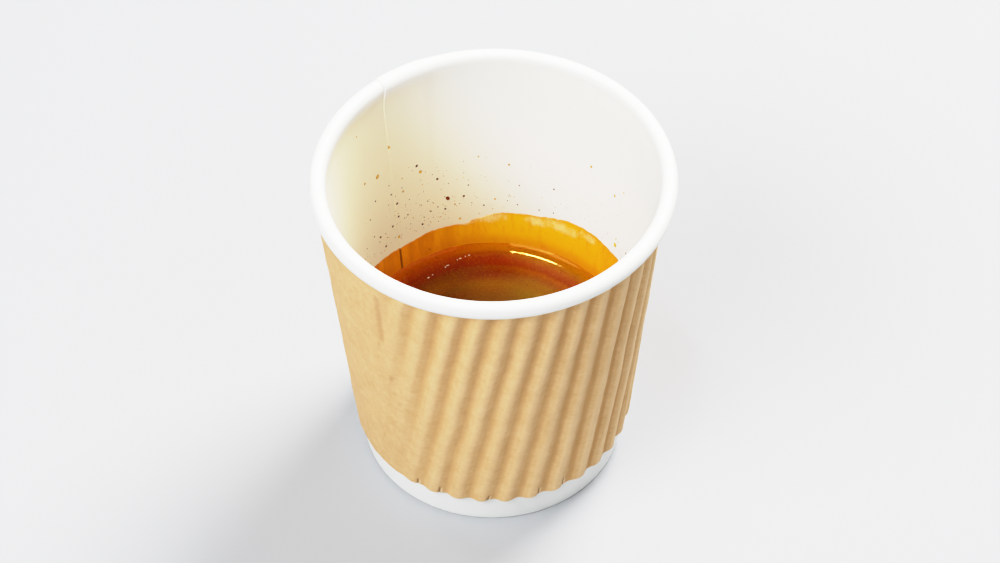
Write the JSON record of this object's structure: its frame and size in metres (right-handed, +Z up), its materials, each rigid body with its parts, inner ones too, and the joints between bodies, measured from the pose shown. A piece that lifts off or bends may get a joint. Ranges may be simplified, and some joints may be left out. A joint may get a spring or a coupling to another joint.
{
  "type": "espresso shot",
  "caption": "Espresso in a small ripple-wall paper cup: white tapered cup with a rolled rim, slanted fluted kraft wrap, and coffee standing in its lower quarter.",
  "frame": {"origin": "centre of the foot circle, on the plane the cup stands on", "axes": "+Z up along the cup's axis; the front is -Y; the wrap's pressed lap is on the left, towards -X and a little to the front"},
  "size_m": [0.062, 0.062, 0.0645],
  "materials": {
    "cup_board": "satin",
    "base_board": "satin",
    "kraft": "matte",
    "coffee": "gloss"
  },
  "bodies": {
    "root": {"cup_wall": "cup_board", "cup_base": "base_board", "ripple_wrap": "kraft", "espresso": "coffee"}
  },
  "joints": []
}
